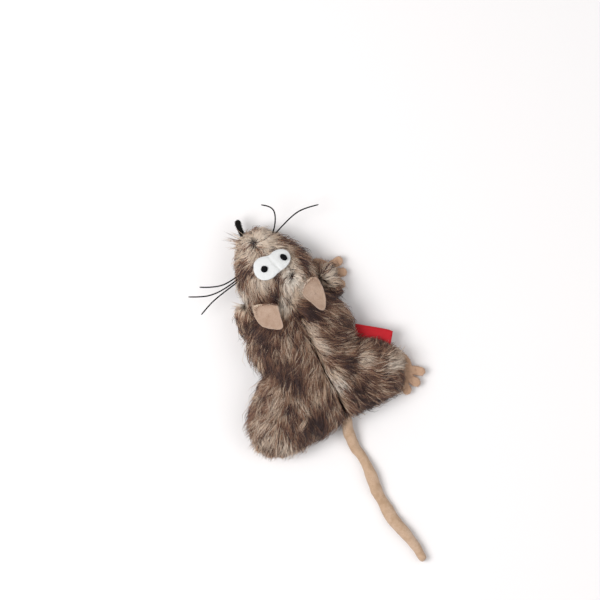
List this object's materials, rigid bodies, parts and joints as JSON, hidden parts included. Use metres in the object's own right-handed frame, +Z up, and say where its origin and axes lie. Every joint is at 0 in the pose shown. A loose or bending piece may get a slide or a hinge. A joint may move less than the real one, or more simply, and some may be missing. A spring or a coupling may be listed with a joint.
{
  "type": "plush mouse cat toy",
  "caption": "Flat-lying plush mouse for cats: fur-fabric body over stuffing and a catnip pouch, with felt paws, suede ears and tail, an eye patch, thread whiskers and a red side label.",
  "frame": {"origin": "on the pressed underside of the belly panel, under the middle of the belly", "axes": "+Z up from the surface that it lies on, +Y towards the nose, +X to the mouse's right"},
  "size_m": [0.0762, 0.1604, 0.0242],
  "materials": {
    "mottled_fur": "deep-pile faux fur, cream with dark brown tips",
    "pale_fur": "deep-pile faux fur, cream",
    "stuffing": "loose polyester fibre",
    "pouch_cotton": "plain woven cotton",
    "paw_felt": "matte felt",
    "ear_suede": "fine suede",
    "tail_suede": "fine suede",
    "white_felt": "matte felt",
    "pupil_black": "smooth, slightly shiny",
    "black_yarn": "wound cotton yarn",
    "black_thread": "waxed thread",
    "red_ribbon": "woven satin ribbon"
  },
  "bodies": {
    "torso": {"back_panel_right": "mottled_fur", "back_panel_left": "mottled_fur", "belly_panel": "mottled_fur", "catnip_pouch": "pouch_cotton", "body_stuffing": "stuffing"},
    "head": {"head_cover": "mottled_fur", "chin_panel": "pale_fur", "head_stuffing": "stuffing", "nose": "black_yarn", "whisker_left_1": "black_thread", "whisker_left_2": "black_thread", "whisker_left_3": "black_thread", "whisker_right_1": "black_thread", "whisker_right_2": "black_thread", "eye_patch": "white_felt", "pupil_left": "pupil_black", "pupil_right": "pupil_black"},
    "ear_left": {"ear_back_left": "ear_suede", "ear_lining_left": "ear_suede"},
    "ear_right": {"ear_back_right": "ear_suede", "ear_lining_right": "ear_suede"},
    "leg_hind_right": {"hind_leg_cover_right": "mottled_fur", "hind_leg_stuffing_right": "stuffing", "hind_paw_right": "paw_felt"},
    "leg_hind_left": {"hind_leg_cover_left": "mottled_fur", "hind_leg_stuffing_left": "stuffing", "hind_paw_left": "paw_felt"},
    "leg_front_right": {"front_leg_cover_right": "mottled_fur", "front_leg_stuffing_right": "stuffing", "front_paw_right": "paw_felt"},
    "leg_front_left": {"front_leg_cover_left": "mottled_fur", "front_leg_stuffing_left": "stuffing", "front_paw_left": "paw_felt"},
    "tail": {"tail": "tail_suede"},
    "label": {"side_label": "red_ribbon"}
  },
  "joints": [
    {"name": "head_nod", "type": "hinge", "parent": "torso", "child": "head", "pos_m": [0.0005, 0.017, 0], "axis": [-0.9945, -0.1045, 0], "range_deg": [0, 35]},
    {"name": "leg_hind_right_lift", "type": "hinge", "parent": "torso", "child": "leg_hind_right", "pos_m": [0.012, -0.022, 0.0186], "axis": [-0.2924, -0.9563, 0], "range_deg": [0, 55]},
    {"name": "leg_hind_left_lift", "type": "hinge", "parent": "torso", "child": "leg_hind_left", "pos_m": [-0.0135, -0.021, 0.0186], "axis": [-0.4384, 0.8988, 0], "range_deg": [0, 55]},
    {"name": "leg_front_right_lift", "type": "hinge", "parent": "torso", "child": "leg_front_right", "pos_m": [0.01703, 0.016, 0.0162], "axis": [0.4226, -0.9063, 0], "range_deg": [0, 60]},
    {"name": "leg_front_left_lift", "type": "hinge", "parent": "torso", "child": "leg_front_left", "pos_m": [-0.0175, 0.015, 0.0162], "axis": [0.4226, 0.9063, 0], "range_deg": [0, 60]},
    {"name": "ear_left_fold", "type": "hinge", "parent": "head", "child": "ear_left", "pos_m": [-0.00938, 0.01889, 0.0197], "axis": [-0.9221, 0.0969, -0.3746], "range_deg": [0, 100]},
    {"name": "ear_right_fold", "type": "hinge", "parent": "head", "child": "ear_right", "pos_m": [0.00986, 0.02065, 0.01972], "axis": [-0.8818, -0.2865, 0.3746], "range_deg": [0, 100]},
    {"name": "tail_swing", "type": "hinge", "parent": "torso", "child": "tail", "pos_m": [0.0004, -0.0355, 0.0064], "axis": [0, 0, 1], "range_deg": [-35, 35]},
    {"name": "label_flap", "type": "hinge", "parent": "leg_hind_right", "child": "label", "pos_m": [0.02397, -0.01168, 0.008], "axis": [0.8141, -0.5807, 0], "range_deg": [-35, 40], "stiffness_Nm_per_rad": 0.0002}
  ]
}
